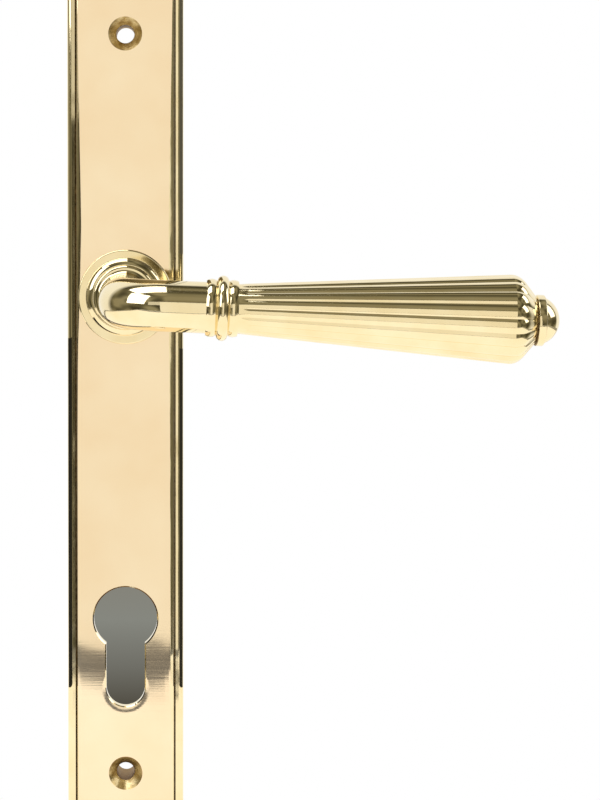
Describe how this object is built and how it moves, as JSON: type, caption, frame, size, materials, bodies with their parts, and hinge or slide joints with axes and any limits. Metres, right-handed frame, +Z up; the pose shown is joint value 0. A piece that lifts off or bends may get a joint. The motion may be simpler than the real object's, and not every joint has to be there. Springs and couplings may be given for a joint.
{
  "type": "espagnolette door lever handle on a long backplate",
  "caption": "Lever handle with a reeded, tapered grip on a long narrow backplate with a euro-profile cylinder cut-out, sprung, for a multipoint door lock.",
  "frame": {"origin": "on the spindle axis, in the backplate's back plane, where it seats on the door", "axes": "+X along the lever, +Y into the door along the spindle, +Z up along the backplate"},
  "size_m": [0.1322, 0.1277, 0.244],
  "materials": {
    "polished_brass": "polished and lacquered",
    "plated_steel": "zinc plated",
    "plain_steel": "plain turned",
    "spring_steel": "oiled black",
    "bearing_plastic": "natural"
  },
  "bodies": {
    "plate": {"backplate": "polished_brass", "rose_ring": "polished_brass", "neck_bush": "bearing_plastic", "cover_plate": "plated_steel", "cover_screws": "plated_steel", "stop_pins": "plain_steel", "spring_anchor_pin": "plain_steel", "return_spring": "spring_steel"},
    "lever": {"lever_neck": "polished_brass", "collar_ring": "polished_brass", "reeded_grip": "polished_brass", "end_finial": "polished_brass", "tie_rod": "plain_steel", "locating_pin": "plain_steel", "spindle": "plated_steel", "grub_screw": "spring_steel", "drive_cam": "plain_steel", "retaining_circlip": "spring_steel", "spring_washer": "spring_steel", "thrust_washer": "plain_steel"}
  },
  "joints": [
    {"name": "lever_turn", "type": "hinge", "parent": "plate", "child": "lever", "pos_m": [0, 0, 0], "axis": [0, 1, 0], "range_deg": [-47.2, 42.8], "stiffness_Nm_per_rad": 1.2, "springref_deg": -7, "deforming": ["return_spring"]}
  ]
}
